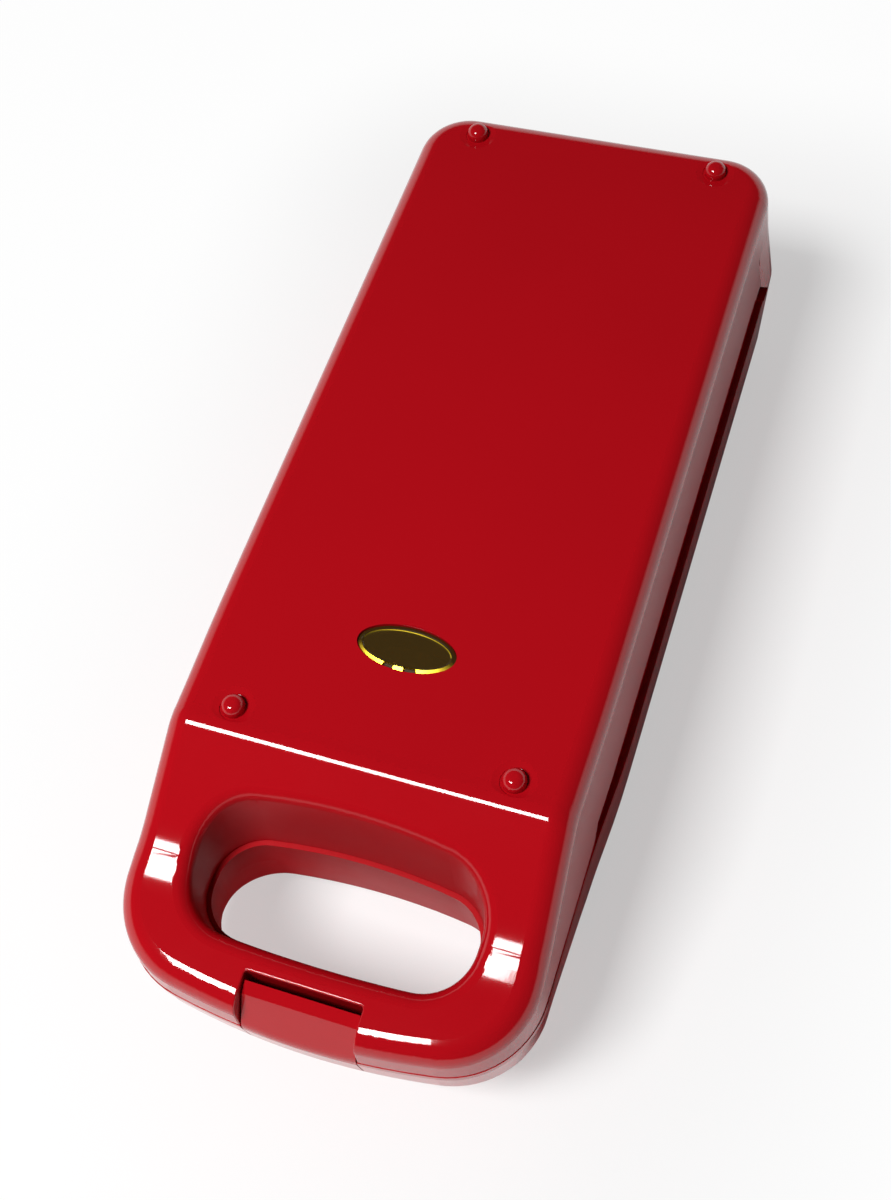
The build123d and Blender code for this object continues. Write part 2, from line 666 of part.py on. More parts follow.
def latch():
    """A rocker: pressed at its top, it swings its hook out from under the catch."""
    half = LATCH_NOTCH / 2 - LATCH_SIDE_GAP
    inset = LATCH_RIB / 2
    front = Y_FRONT + LATCH_WALL - inset
    cheek = Polyline(
        (Y_LATCH_TOP, LATCH_TOP_HEIGHT - inset),
        (Y_LATCH_PIN + LATCH_TUBE_RADIUS, LATCH_PIN_HEIGHT),
        (Y_LATCH_PIN, LATCH_PIN_HEIGHT - LATCH_TUBE_RADIUS),
        (front, -inset),
        (front, LATCH_RAMP_FOOT + inset),
        (Y_FRONT + LATCH_CREASE_DEPTH, LATCH_CREASE_HEIGHT - inset),
        close=True,
    )
    rib = extrude(Plane.YZ * make_face(cheek.edges()), LATCH_RIB)
    body = latch_skin(half)
    for x in (-half, -half / 2, half / 2 - LATCH_RIB, half - LATCH_RIB):
        body = body + Pos(x, 0, 0) * rib
    tube = rod(LATCH_TUBE_RADIUS, -half, half, Y_LATCH_PIN, LATCH_PIN_HEIGHT)
    room = LATCH_SPRING_ROOM / 2
    body = body + (tube - rod(LATCH_TUBE_RADIUS + FIT, -room, room, Y_LATCH_PIN, LATCH_PIN_HEIGHT))
    bore = rod(LATCH_PIN_RADIUS + RUNNING_FIT, -LATCH_NOTCH, LATCH_NOTCH, Y_LATCH_PIN, LATCH_PIN_HEIGHT)
    return body - bore


def latch_spring():
    """The coil of the torsion spring around the pin."""
    length = SPRING_TURNS * SPRING_PITCH
    helix = Helix(pitch=SPRING_PITCH, height=length, radius=LATCH_PIN_RADIUS + SPRING_WIRE + FIT)
    profile = Plane(origin=helix @ 0, z_dir=helix % 0) * RegularPolygon(SPRING_WIRE, 8)
    coil = sweep(profile, path=helix, is_frenet=True)
    return Pos(-length / 2, Y_LATCH_PIN, LATCH_PIN_HEIGHT) * Rot(0, 90, 0) * coil


# Plates

def grill_plate():
    """A cast plate: flange, drafted well, lengthwise ribs and bosses on its back."""
    half = PLATE_HALF_WIDTH - FLANGE_WIDTH
    length = PLATE_LENGTH - 2 * FLANGE_WIDTH
    narrowing = WELL_DEPTH * math.tan(math.radians(WELL_DRAFT)) + CHANNEL_WIDTH
    flange = RectangleRounded(2 * PLATE_HALF_WIDTH, PLATE_LENGTH, PLATE_CORNER_RADIUS)
    tray = RectangleRounded(2 * (half + PLATE_WALL), length + 2 * PLATE_WALL, PLATE_CORNER_RADIUS - 2)
    mouth = RectangleRounded(2 * half, length, PLATE_CORNER_RADIUS - 4)
    plate = extrude(flange, PLATE_FLANGE) + extrude(tray, WELL_DEPTH + PLATE_WALL, taper=WELL_DRAFT)
    plate = plate - extrude(mouth, WELL_DEPTH, taper=WELL_DRAFT)
    pitch = (2 * (half - narrowing) - RIB_WIDTH) / (RIB_COUNT - 1)
    slope = math.degrees(math.atan((RIB_WIDTH - RIB_TOP_WIDTH) / 2 / RIB_HEIGHT))
    rib_plan = RectangleRounded(RIB_WIDTH, length - 2 * narrowing, RIB_WIDTH * 0.45)
    rib = mirror(extrude(rib_plan, RIB_HEIGHT, taper=slope), about=Plane.XY)
    plate = plate + [Pos((i - (RIB_COUNT - 1) / 2) * pitch, 0, WELL_DEPTH) * rib for i in range(RIB_COUNT)]
    back = PLATE_BACK - PLATE_GAP / 2
    seat = STRAP_SEAT - PLATE_GAP / 2
    boss = post(PLATE_BOSS_RADIUS, back - PLATE_WALL / 2, seat)
    hole = post(SCREW_RADIUS + SEATED_FIT, back, seat + WALL)
    for y in strap_places():
        plate = plate + Pos(0, y - PLATE_CENTRE, 0) * boss - Pos(0, y - PLATE_CENTRE, 0) * hole
    return Pos(0, PLATE_CENTRE, PLATE_GAP / 2) * plate


def strap_places():
    """Where the straps cross the element."""
    reach = PLATE_LENGTH / 2 - ELEMENT_MARGIN - 2 * ELEMENT_CORNER_RADIUS
    return [PLATE_CENTRE + reach * (2 * i / (STRAP_COUNT - 1) - 1) for i in range(STRAP_COUNT)]


def element_rear():
    """Where the element's ends turn up."""
    return PLATE_CENTRE + PLATE_LENGTH / 2 - ELEMENT_MARGIN


def heating_element():
    """A tubular element laid in a long loop, with its cold ends turned up."""
    z = PLATE_BACK + ELEMENT_RADIUS
    end = z + TERMINAL_RISE
    y_front = PLATE_CENTRE - PLATE_LENGTH / 2 + ELEMENT_MARGIN
    y_rear = element_rear()
    x = ELEMENT_HALF_WIDTH
    path = FilletPolyline(
        (-x, y_rear, end), (-x, y_rear, z), (-x, y_front, z),
        (x, y_front, z), (x, y_rear, z), (x, y_rear, end),
        radius=[ELEMENT_BEND_RADIUS, ELEMENT_CORNER_RADIUS, ELEMENT_CORNER_RADIUS, ELEMENT_BEND_RADIUS],
    )
    tube = sweep(Plane(origin=path @ 0, z_dir=path % 0) * Circle(ELEMENT_RADIUS), path=path)
    pin = post(TERMINAL_RADIUS, end - TERMINAL_RADIUS, end + TERMINAL_LENGTH)
    return tube + [Pos(side * x, y_rear, 0) * pin for side in (-1, 1)]


def element_straps():
    """Bars that press the element onto the plate."""
    half = ELEMENT_HALF_WIDTH + 2 * ELEMENT_RADIUS
    bar = extrude(SlotOverall(2 * half, STRAP_WIDTH), STRAP_THICKNESS)
    bar = bar - post(SCREW_RADIUS + FIT, -STRAP_THICKNESS, 2 * STRAP_THICKNESS)
    return [Pos(0, y, STRAP_SEAT) * bar for y in strap_places()]


def strap_screws():
    """Screws through the straps into the plate's bosses."""
    screw = Rot(180, 0, 0) * pan_screw(STRAP_THICKNESS + STRAP_SCREW_GRIP)
    return [Pos(0, y, STRAP_SEAT + STRAP_THICKNESS) * screw for y in strap_places()]


def heat_shield():
    """A drawn sheet pan over the element, with a flange on the trim frame's back."""
    depth = SHIELD_BACK - FRAME_BACK
    half = PLATE_HALF_WIDTH - FLANGE_WIDTH + PLATE_WALL + 1
    length = PLATE_LENGTH - 2 * (FLANGE_WIDTH - PLATE_WALL - 1)
    radius = PLATE_CORNER_RADIUS
    pan = extrude(RectangleRounded(2 * half, length, radius), depth)
    pan = fillet(pan.faces().sort_by(Axis.Z)[-1].edges(), SHIELD_BEND)
    core = RectangleRounded(2 * (half - SHIELD_SHEET), length - 2 * SHIELD_SHEET, radius - SHIELD_SHEET)
    inside = extrude(core, depth - SHIELD_SHEET)
    inside = fillet(inside.faces().sort_by(Axis.Z)[-1].edges(), SHIELD_BEND - SHIELD_SHEET)
    brim = RectangleRounded(2 * (half + SHIELD_FLANGE - 1), length + 2 * (SHIELD_FLANGE - 1), radius + 3)
    shield = Pos(0, PLATE_CENTRE, FRAME_BACK) * (pan + extrude(brim, SHIELD_SHEET) - inside)
    hole = post(ELEMENT_RADIUS + FIT, SHIELD_BACK - WALL, SHIELD_BACK + WALL)
    return shield - [Pos(side * ELEMENT_HALF_WIDTH, element_rear(), 0) * hole for side in (-1, 1)]


def trim_frame(step, hole_grow, face):
    """The flat frame around a plate, which also closes the handle, face being its height."""
    clear = WALL + FIT
    inset = clear + max(face + FRAME_THICKNESS, 0) * math.tan(math.radians(DRAFT))
    rear_zone = box_between(
        (-BASE_HALF_WIDTH, Y_STEP - STEP_RUN, 0),
        (BASE_HALF_WIDTH, Y_REAR, FRAME_THICKNESS),
    )
    wide = extrude(shell_plan(step, inset), FRAME_THICKNESS)
    narrow = extrude(shell_plan(LID_STEP, inset + FIT), FRAME_THICKNESS)
    frame = Pos(0, 0, face) * ((wide - rear_zone) + (narrow & rear_zone))
    window = RectangleRounded(
        2 * (PLATE_HALF_WIDTH - FLANGE_WIDTH + PLATE_WALL),
        PLATE_LENGTH - 2 * (FLANGE_WIDTH - PLATE_WALL),
        PLATE_CORNER_RADIUS - 2,
    )
    frame = frame - Pos(0, PLATE_CENTRE, face - 1) * extrude(window, 2 * FRAME_THICKNESS)
    frame = frame - hand_hole(hole_grow + clear) - box_between(
        (-LATCH_NOTCH / 2 - clear, Y_FRONT, -SHELL_HEIGHT),
        (LATCH_NOTCH / 2 + clear, Y_FRONT + HANDLE_BAR, SHELL_HEIGHT),
    )
    hole = post(SCREW_RADIUS + FIT, -SHELL_HEIGHT, SHELL_HEIGHT)
    return frame - [Pos(x, y, 0) * hole for x, y in frame_screw_places(step)]


def frame_screws(step, face):
    """Screws through a trim frame into the shell's posts."""
    screw = pan_screw(FRAME_THICKNESS + SCREW_LENGTH - SCREW_TIP_GAP)
    return [Pos(x, y, face) * screw for x, y in frame_screw_places(step)]


# Indicator

def indicator_lens():
    """An oval lens, set just below the deck, with a skirt and a flange under the deck."""
    window = oval_block(0, LENS_RECESS, LENS_RECESS + LENS_THICKNESS)
    bore = oval_block(-LENS_SKIRT, 0, LENS_DEPTH + LENS_SKIRT)
    skirt = oval_block(0, LENS_RECESS, LENS_DEPTH) - bore
    flange = oval_block(LENS_FLANGE, WALL, WALL + LENS_FLANGE_THICKNESS) - bore
    return window + skirt + flange


def lamp_holder():
    """An oval cup under the lens with a bore for each lamp."""
    cup = oval_block(-LENS_SKIRT - FIT, WALL, LAMP_CUP_DEPTH)
    cup = cup + oval_block(LENS_FLANGE, LENS_DEPTH, LENS_DEPTH + LAMP_CUP_FLOOR)
    cup = cup - oval_block(-2 * LENS_SKIRT - FIT, 0, LAMP_CUP_DEPTH - LAMP_CUP_FLOOR)
    bore = post(LAMP_RADIUS + SEATED_FIT, 0, SHELL_HEIGHT)
    return cup - [Pos(x, y, 0) * bore for x, y in lamp_places()]


def lamp_places():
    """The two lamps under the lens."""
    return [(side * LAMP_SPACING / 2, Y_FRONT + LENS_CENTRE) for side in (-1, 1)]


def pilot_lamps():
    """Two small lamps standing in the holder."""
    foot = SHELL_HEIGHT - LAMP_CUP_DEPTH - LAMP_CUP_FLOOR / 3
    glass = post(LAMP_RADIUS, foot, SHELL_HEIGHT - WALL - LAMP_HEADROOM)
    top = glass.edges().filter_by(GeomType.CIRCLE).sort_by(Axis.Z)[-1]
    glass = fillet(top, LAMP_RADIUS * 0.85)
    return [Pos(x, y, 0) * glass for x, y in lamp_places()]


# Hinge pins and electrical pieces

def hinge_pins():
    """One pin for each hinge station, with its head on the outer side."""
    half = BASE_KNUCKLE / 2 + KNUCKLE_GAP + LID_KNUCKLE
    shank = rod(PIN_RADIUS, -half - FIT, half + FIT, 0, 0)
    head = rod(PIN_HEAD_RADIUS, half + FIT, half + FIT + PIN_HEAD_LENGTH, 0, 0)
    pin = shank + head
    return [
        Pos(HINGE_STATION, Y_HINGE, 0) * pin,
        Pos(-HINGE_STATION, Y_HINGE, 0) * mirror(pin, about=Plane.YZ),
    ]


def in_rear_wall(shape):
    """Stand a piece drawn along Z square in the middle of the base's sloping rear wall."""
    slope = math.radians(DRAFT)
    y = Y_REAR - WALL / 2 - GROMMET_DROP * math.tan(slope)
    return Pos(GROMMET_X, y, GROMMET_DROP) * Rot(90 + DRAFT, 0, 0) * shape


def cord_grommet():
    """A flanged bushing in the base's rear wall, where a supply lead leaves."""
    wall = WALL * math.cos(math.radians(DRAFT))
    ring = Cylinder(GROMMET_RADIUS - SEATED_FIT, wall + 2 * GROMMET_LIP)
    lip = Cylinder(GROMMET_RADIUS + GROMMET_LIP_WIDTH, GROMMET_LIP)
    ring = ring + [Pos(0, 0, side * (wall + GROMMET_LIP) / 2) * lip for side in (-1, 1)]
    return in_rear_wall(ring - Cylinder(GROMMET_BORE, 4 * wall))


def thermostat():
    """A disc thermostat on the lower heat shield, with two blade terminals."""
    can = post(THERMOSTAT_RADIUS, 0, THERMOSTAT_HEIGHT)
    can = fillet(can.edges().filter_by(GeomType.CIRCLE).sort_by(Axis.Z)[-1], EAR_THICKNESS)
    ears = extrude(SlotOverall(2 * (THERMOSTAT_RADIUS + EAR_REACH), EAR_WIDTH), EAR_THICKNESS)
    height = THERMOSTAT_HEIGHT + BLADE_SIZE[2] / 2 - BLADE_SIZE[0]
    blades = [Pos(side * BLADE_SPACING / 2, 0, height) * Box(*BLADE_SIZE) for side in (-1, 1)]
    return Pos(0, PLATE_CENTRE + DEVICE_OFFSET, SHIELD_BACK) * (can + ears + blades)


def thermal_fuse():
    """A sleeved fuse lying across the lower heat shield."""
    half = FUSE_LENGTH / 2
    sleeve = rod(FUSE_RADIUS, -half, half, 0, FUSE_RADIUS)
    leads = rod(FUSE_LEAD_RADIUS, -half - FUSE_LEAD_LENGTH, half + FUSE_LEAD_LENGTH, 0, FUSE_RADIUS)
    return Pos(0, PLATE_CENTRE - DEVICE_OFFSET, SHIELD_BACK) * (sleeve + leads)


def terminal_block():
    """A three-way screw block on the floor of the base."""
    length, width, height = TERMINAL_BLOCK_SIZE
    block = Box(length, width, height)
    well = post(TERMINAL_WELL_RADIUS, -TERMINAL_WELL_DEPTH, TERMINAL_WELL_DEPTH)
    wire_hole = Rot(90, 0, 0) * Cylinder(TERMINAL_WIRE_RADIUS, 2 * width)
    for i in (-1, 0, 1):
        block = block - Pos(i * TERMINAL_PITCH, 0, -height / 2) * well
        block = block - Pos(i * TERMINAL_PITCH, 0, 0) * wire_hole
    return Pos(TERMINAL_BLOCK_X, Y_REAR - TERMINAL_BLOCK_GAP, SHELL_HEIGHT - WALL - height / 2) * block


def assembly():
    """Every node's solids, by name."""
    lower_frame = MEETING - PLATE_GAP / 2 - PLATE_FLANGE
    upper_frame = MEETING + PLATE_GAP / 2 + PLATE_FLANGE
    nodes = {
        "base_shell": in_base(base_shell()),
        "base_trim_frame": in_base(trim_frame(BASE_STEP, -HOLE_STEP, -lower_frame)),
        "lower_grill_plate": below_meeting(grill_plate()),
        "lower_heating_element": below_meeting(heating_element()),
        "lower_element_straps": [below_meeting(bar) for bar in element_straps()],
        "lower_strap_screws": [below_meeting(screw) for screw in strap_screws()],
        "lower_heat_shield": below_meeting(heat_shield()),
        "base_frame_screws": [in_base(screw) for screw in frame_screws(BASE_STEP, -lower_frame)],
        "base_feet": [in_base(foot) for foot in button_set(FOOT_RADIUS, FOOT_FLAT)],
        "thermostat": below_meeting(thermostat()),
        "thermal_fuse": below_meeting(thermal_fuse()),
        "terminal_block": in_base(terminal_block()),
        "cord_grommet": in_base(cord_grommet()),
        "hinge_pins": [in_lid(pin) for pin in hinge_pins()],
        "lid_shell": in_lid(lid_shell()),
        "lid_trim_frame": in_lid(trim_frame(LID_STEP, 0, upper_frame)),
        "upper_grill_plate": above_meeting(grill_plate()),
        "upper_heating_element": above_meeting(heating_element()),
        "upper_element_straps": [above_meeting(bar) for bar in element_straps()],
        "upper_strap_screws": [above_meeting(screw) for screw in strap_screws()],
        "upper_heat_shield": above_meeting(heat_shield()),
        "lid_frame_screws": [in_lid(screw) for screw in frame_screws(LID_STEP, upper_frame)],
        "lid_rest_buttons": [in_lid(piece) for piece in button_set(BUTTON_RADIUS, BUTTON_FLAT)],
        "indicator_lens": in_lid(indicator_lens()),
        "lamp_holder": in_lid(lamp_holder()),
        "pilot_lamps": [in_lid(lamp) for lamp in pilot_lamps()],
        "latch_pin": in_lid(latch_pin_bar()),
        "latch": in_lid(latch()),
        "latch_spring": in_lid(latch_spring()),
    }
    return nodes


os.makedirs("parts", exist_ok=True)
for name, shape in assembly().items():
    solids = shape if isinstance(shape, list) else [shape]
    pieces = [solid for item in solids for solid in item.solids()]
    export_step(Compound(pieces), os.path.join("parts", name + ".step"))
    print(name, len(pieces), round(sum(piece.volume for piece in pieces)))
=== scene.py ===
# %% [markdown]
# # A red contact grill, dressed for its picture
# The solids of the cooker come from a CAD model, already in metres and already in place.
# This lesson gives them their finishes, swaps the lid for a softer copy and the lens for
# a finer one, and sets up a plain studio. It starts by loading the solids and their size.

# %% Load the solids
import json
import math

import bmesh
import bpy
from mathutils import Matrix, Vector


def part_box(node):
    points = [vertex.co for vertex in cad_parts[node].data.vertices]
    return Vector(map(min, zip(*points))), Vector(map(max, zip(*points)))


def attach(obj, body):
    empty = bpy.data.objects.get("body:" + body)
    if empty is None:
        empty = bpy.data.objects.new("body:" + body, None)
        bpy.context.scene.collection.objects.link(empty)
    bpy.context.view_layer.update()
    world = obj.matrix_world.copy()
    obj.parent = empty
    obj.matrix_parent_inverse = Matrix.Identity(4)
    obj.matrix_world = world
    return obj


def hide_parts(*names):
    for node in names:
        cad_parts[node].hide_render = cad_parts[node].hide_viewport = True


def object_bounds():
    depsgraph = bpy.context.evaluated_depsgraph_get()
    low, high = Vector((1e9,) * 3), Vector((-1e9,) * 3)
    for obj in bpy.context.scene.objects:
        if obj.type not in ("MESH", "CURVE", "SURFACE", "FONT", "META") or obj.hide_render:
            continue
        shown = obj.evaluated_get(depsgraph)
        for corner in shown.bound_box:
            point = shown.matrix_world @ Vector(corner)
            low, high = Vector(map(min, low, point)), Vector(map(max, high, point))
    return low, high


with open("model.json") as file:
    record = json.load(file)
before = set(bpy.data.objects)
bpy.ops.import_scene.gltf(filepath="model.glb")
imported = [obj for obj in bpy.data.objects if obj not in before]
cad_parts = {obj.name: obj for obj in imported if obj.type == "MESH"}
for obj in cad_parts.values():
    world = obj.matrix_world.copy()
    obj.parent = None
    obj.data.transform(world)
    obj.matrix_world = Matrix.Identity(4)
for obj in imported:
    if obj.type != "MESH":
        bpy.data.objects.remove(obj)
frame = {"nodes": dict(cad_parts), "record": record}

cad_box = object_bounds()
nodes = frame["nodes"]
print("CAD box", cad_box)

# %% [markdown]
# ## The camera
# The picture looks down on the cooker from its handle end, a little from the right.
# A camera is easiest to reason about as a place, a point that it looks at and a tilt:
# the three are turned into the camera's axes here, because Blender's own helpers
# for this don't know about the tilt.

# %% Place the camera
EYE = Vector((0.13929, -0.28141, 0.56848))
AIM = Vector((0.00697, -0.04557, 0.100))
TILT = math.radians(-12.514)
SENSOR = 36.0                   # millimetres
FOCAL_LENGTH = 46.81


def aim(thing, eye, target, tilt=0.0):
    """Stand something at eye, looking at target, turned about its line of sight."""
    turned = (target - eye).to_track_quat("-Z", "Y").to_matrix().to_4x4()
    thing.matrix_world = Matrix.Translation(eye) @ turned @ Matrix.Rotation(tilt, 4, "Z")


camera = bpy.data.objects.new("camera", bpy.data.cameras.new("camera"))
bpy.context.scene.collection.objects.link(camera)
camera.data.sensor_width = SENSOR
camera.data.lens = FOCAL_LENGTH
aim(camera, EYE, AIM, TILT)
bpy.context.scene.camera = camera
bpy.context.scene.view_settings.view_transform = "Standard"
print("camera is", round((AIM - EYE).length, 3), "m from what it looks at")

# %% [markdown]
# ## Writing a finish as sums
# A procedural finish is a net of small nodes, and a net is hard to read as a list of links.
# The class below wraps one socket, so that `1 - mask` or `grain * 0.2 + speckle`
# adds the Math nodes by itself. Everything that isn't plain arithmetic goes through one
# method, which takes a node's type, its settings and the values or links of its sockets.

# %% A socket that can be added and multiplied
class Wire:
    """One output socket of a shader net."""

    def __init__(self, finish, socket):
        self.finish = finish
        self.socket = socket

    def math(self, operation, *values):
        return self.finish.node("Math", {"operation": operation}, dict(enumerate(values)))

    def __add__(self, other):
        return self.math("ADD", self, other)

    __radd__ = __add__

    def __sub__(self, other):
        return self.math("SUBTRACT", self, other)

    def __rsub__(self, other):
        return self.math("SUBTRACT", other, self)

    def __mul__(self, other):
        return self.math("MULTIPLY", self, other)

    __rmul__ = __mul__


class Finish:
    """A net of shader nodes: a material's, or that of a world which is handed in."""

    def __init__(self, name, owner=None):
        self.owner = owner or bpy.data.materials.new(name)
        self.owner.use_nodes = True
        self.tree = self.owner.node_tree
        self.tree.nodes.clear()

    def node(self, kind, settings=None, inputs=None, output=0):
        """Add a node: its settings first, then its sockets by name or number."""
        made = self.tree.nodes.new("ShaderNode" + kind)
        for name, value in (settings or {}).items():
            if name == "stops":
                ramp = made.color_ramp.elements
                while len(ramp) < len(value):
                    ramp.new(0.5)
                for stop, (place, colour) in zip(ramp, value):
                    stop.position = place
                    stop.color = colour
            else:
                setattr(made, name, value)
        for key, value in (inputs or {}).items():
            if isinstance(value, Wire):
                self.tree.links.new(value.socket, made.inputs[key])
            else:
                made.inputs[key].default_value = value
        return None if output is None else Wire(self, made.outputs[output])

    def surface(self, shader, output="OutputMaterial"):
        """Send a shader to the output and hand the finish over."""
        self.node(output, None, {"Surface": shader}, output=None)
        return self.owner


# %% Colours as they are seen
def colour(red, green, blue, alpha=1.0):
    """A colour given as on a screen from 0 to 255, turned into light."""
    def light(value):
        value = value / 255
        return value / 12.92 if value <= 0.04045 else ((value + 0.055) / 1.055) ** 2.4
    return (light(red), light(green), light(blue), alpha)


# %% Helpers every finish uses
def place(finish):
    """The point on the object, in metres."""
    return finish.node("TexCoord", output="Object")


def noise(finish, scale, detail, stretch=None):
    """Noise from 0 to 1, with grains about 1/scale metres across."""
    point = place(finish)
    if stretch:
        point = finish.node("Mapping", None, {"Vector": point, "Scale": stretch})
    return finish.node("TexNoise", None, {"Vector": point, "Scale": scale, "Detail": detail})


def blend(finish, share, first, second):
    """Mix two colours by a share from 0 to 1."""
    return finish.node("Mix", {"data_type": "RGBA"}, {0: share, 6: first, 7: second}, output=2)


def bump(finish, height, distance):
    """Raise the surface by a height from 0 to 1 times a distance in metres."""
    return finish.node("Bump", None, {"Height": height, "Distance": distance, "Strength": 1.0})


def dress(node_names, material):
    """Give carried-over CAD nodes a finish."""
    for name in node_names:
        for slot in nodes[name].material_slots:
            slot.material = material
    print(material.name, "on", ", ".join(node_names))


# %% [markdown]
# ## Glossy red plastic
# Both shells, the latch and the rest buttons are moulded in one glossy red plastic.
# What makes it look moulded is that its mirror is not quite flat: the tool's polish leaves
# a long, very low wave, and handling leaves a fine haze. So the colour hardly changes,
# the roughness a little, and two bumps of different length bend the reflections.
# The wall of the hand hole shines less than the rest. The shells stay one solid with one
# finish, so a mask picks that wall out by its place and by how steep it is.

# %% The hand hole as a mask
HOLE_MARGIN = 0.012             # from the box that the record states to the hole's own wall
HOLE_LEDGE = 0.060              # height below which the base's ledge in the hole is matt too
UPRIGHT = (0.7, 0.3)            # upward part of the normal where the mask starts and is full


def hole_wall(finish):
    """1 on the upright wall of the hand hole and its ledge, 0 everywhere else."""
    opening = next(o for o in frame["record"]["physics"]["openings"] if o["name"] == "hand_hole")
    low, high = (Vector(corner) for corner in opening["box_m"])
    aside = finish.node("SeparateXYZ", None, {"Vector": place(finish)}, output="X")
    back = finish.node("SeparateXYZ", None, {"Vector": place(finish)}, output="Y")
    above = finish.node("SeparateXYZ", None, {"Vector": place(finish)}, output="Z")
    facing = finish.node("TexCoord", output="Normal")
    slope = finish.node("SeparateXYZ", None, {"Vector": facing}, output="Z")
    across = aside.math("ABSOLUTE", aside)
    inside = across.math("LESS_THAN", across, high.x + HOLE_MARGIN)
    middle = (low.y + high.y) / 2
    along = back.math("ABSOLUTE", back - middle)
    near = along.math("LESS_THAN", along, high.y - middle + HOLE_MARGIN)
    upright = finish.node("MapRange", None, {
        "Value": slope.math("ABSOLUTE", slope),
        "From Min": UPRIGHT[0],
        "From Max": UPRIGHT[1],
        "To Min": 0.0,
        "To Max": 1.0,
    })
    ledge = above.math("LESS_THAN", above, HOLE_LEDGE)
    return inside * near * upright.math("MAXIMUM", upright, ledge)


# %% Glossy red plastic
HOLE_DULL = 0.9                 # how much of the hole's wall is without gloss
WAVE_HEIGHT = 0.00008           # of the long wave, in metres
SKIN_HEIGHT = 0.000004          # of the fine skin


def gloss_red():
    """A glossy shader, and a dull one where the hole's mask asks for it."""
    finish = Finish("gloss_red")
    cloud = noise(finish, 14.0, 3.0)
    haze = noise(finish, 90.0, 4.0)
    matt = hole_wall(finish)
    red = blend(finish, cloud, colour(178, 10, 22), colour(172, 10, 21))
    wave = noise(finish, 30.0, 1.0)
    skin = noise(finish, 900.0, 2.0)
    waved = bump(finish, wave, WAVE_HEIGHT)
    skinned = finish.node("Bump", None, {"Height": skin, "Distance": SKIN_HEIGHT, "Normal": waved})
    shader = finish.node("BsdfPrincipled", None, {
        "Base Color": red,
        "Roughness": haze * 0.03 + 0.05,
        "IOR": 1.48,
        "Coat Weight": haze * 0.1,
        "Coat Roughness": 0.03,
        "Normal": skinned,
    })
    dull = finish.node("BsdfPrincipled", None, {
        "Base Color": red,
        "Roughness": haze * 0.1 + 0.5,
        "Specular IOR Level": 0.15,
        "Normal": skinned,
    })
    return finish.surface(finish.node("MixShader", None, {0: matt * HOLE_DULL, 1: shader, 2: dull}))


red_plastic = gloss_red()
dress(["base_shell", "lid_shell", "latch", "lid_rest_buttons"], red_plastic)

# %% [markdown]
# ## A softer lid
# CAD folds the lid's top at the deck and at the handle with one plain radius. The moulding
# is softer: its fold at the deck lies further forward, and the foot of the slope is a long
# hollow blend, which is where the broad white patches sit.
# The lid could be modelled again from nothing, but its mesh is already exact, so a copy is
# cut across its length and its points are raised or lowered. A change of height along the
# length tilts the normals by the change of steepness, so the shading stays exact too.

# %% The lid's two profiles
MM = 0.001
PARTING = 52.0                  # height of the parting plane
DECK = 48.0                     # heights above the parting plane
HANDLE_BACK = 24.5
HANDLE_FRONT = 18.0
FRONT_END = -3.0                # distances back from the lid's front
FOOT = 42.0                     # of the slope
PLAIN_CREST = 87.0              # where CAD folds the slope into the deck
SOFT_CREST = 84.3               # and where the moulding does
REAR_END = 383.2
PLAIN_RADII = (14.0, 14.0)      # of the folds at the foot and at the crest
SOFT_RADII = (75.0, 12.0)


def rounded(points, radii):
    """A profile as a function: height and steepness of a line with rounded corners."""
    bends = []
    for (first, corner, last), radius in zip(zip(points, points[1:], points[2:]), radii):
        before = math.atan2(corner[1] - first[1], corner[0] - first[0])
        after = math.atan2(last[1] - corner[1], last[0] - corner[0])
        reach = radius * math.tan(abs(after - before) / 2)
        start = (corner[0] - reach * math.cos(before), corner[1] - reach * math.sin(before))
        side = math.copysign(1, after - before)
        centre = (
            start[0] - side * radius * math.sin(before),
            start[1] + side * radius * math.cos(before),
        )
        bends.append((start[0], corner[0] + reach * math.cos(after), centre, radius, side))

    def profile(at):
        for low, high, centre, radius, side in bends:
            if low < at < high:
                off = at - centre[0]
                rise = math.sqrt(radius ** 2 - off ** 2)
                return centre[1] - side * rise, side * off / rise
        for first, last in zip(points, points[1:]):
            if at <= last[0] or last == points[-1]:
                steep = (last[1] - first[1]) / (last[0] - first[0])
                return first[1] + steep * (at - first[0]), steep
    return profile


def lid_top(crest, radii):
    """The lid's top along its length: handle, slope and deck."""
    corners = [(FRONT_END, HANDLE_FRONT), (FOOT, HANDLE_BACK), (crest, DECK), (REAR_END, DECK)]
    return rounded(corners, radii)


plain_top = lid_top(PLAIN_CREST, PLAIN_RADII)
soft_top = lid_top(SOFT_CREST, SOFT_RADII)
print("the foot of the slope lies at", round(plain_top(FOOT)[0], 2), "mm in CAD")
print("and rises to", round(soft_top(FOOT)[0], 2), "mm")

# %% The softened copy of the lid
FOOT_CUTS = [28.0 + 1.25 * i for i in range(24)]    # where the mesh is cut across its length
CREST_CUTS = [79.0 + 0.6 * i for i in range(20)]
SAME_PLACE = 1e-7               # metres within which a cut uses a point that is there already
STILL_BELOW = 5.0               # height under which nothing moves
FULL_ABOVE = 8.0                # depth under the top from which points move in full


